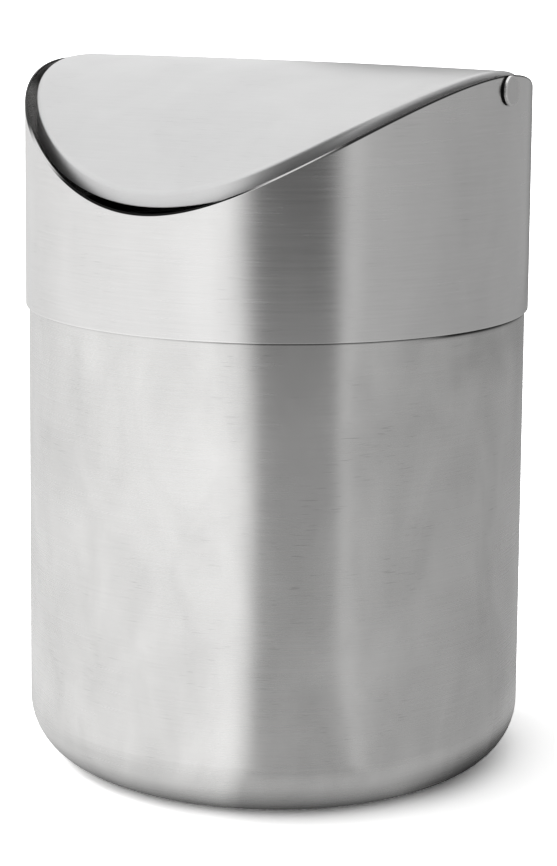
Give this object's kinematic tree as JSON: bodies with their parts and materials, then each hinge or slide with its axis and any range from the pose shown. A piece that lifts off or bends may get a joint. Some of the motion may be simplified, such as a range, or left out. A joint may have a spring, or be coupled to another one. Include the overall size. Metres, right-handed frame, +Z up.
{
  "type": "countertop swing-lid bin",
  "caption": "Small round countertop bin: a drawn steel bucket, a lift-off steel collar with an arched mouth, and an arched lid that swings on two rivets.",
  "frame": {"origin": "middle of the base, in the plane the bin stands on", "axes": "+Z up the bin's axis, +X along the lid's pivots towards the right rivet, +Y to the back"},
  "size_m": [0.1222, 0.12, 0.1667],
  "materials": {
    "bucket_steel": "brushed round the wall",
    "collar_steel": "brushed round the wall",
    "lid_steel": "fine brushed, satin",
    "rivet_steel": "satin",
    "seat_plastic": "fine matte moulded",
    "spacer_plastic": "smooth moulded"
  },
  "bodies": {
    "bucket": {"bucket": "bucket_steel"},
    "cover": {"collar": "collar_steel", "seat_ring": "seat_plastic", "left_pivot_rivet": "rivet_steel", "right_pivot_rivet": "rivet_steel", "left_spacer": "spacer_plastic", "right_spacer": "spacer_plastic", "left_backing_washer": "rivet_steel", "right_backing_washer": "rivet_steel"},
    "lid": {"lid": "lid_steel"}
  },
  "joints": [
    {"name": "cover_lift", "type": "slide", "parent": "bucket", "child": "cover", "axis": [0, 0, 1], "range_m": [0, 0.06]},
    {"name": "lid_swing", "type": "hinge", "parent": "cover", "child": "lid", "pos_m": [0, 0, 0.1621], "axis": [1, 0, 0], "range_deg": [-90, 90]}
  ]
}
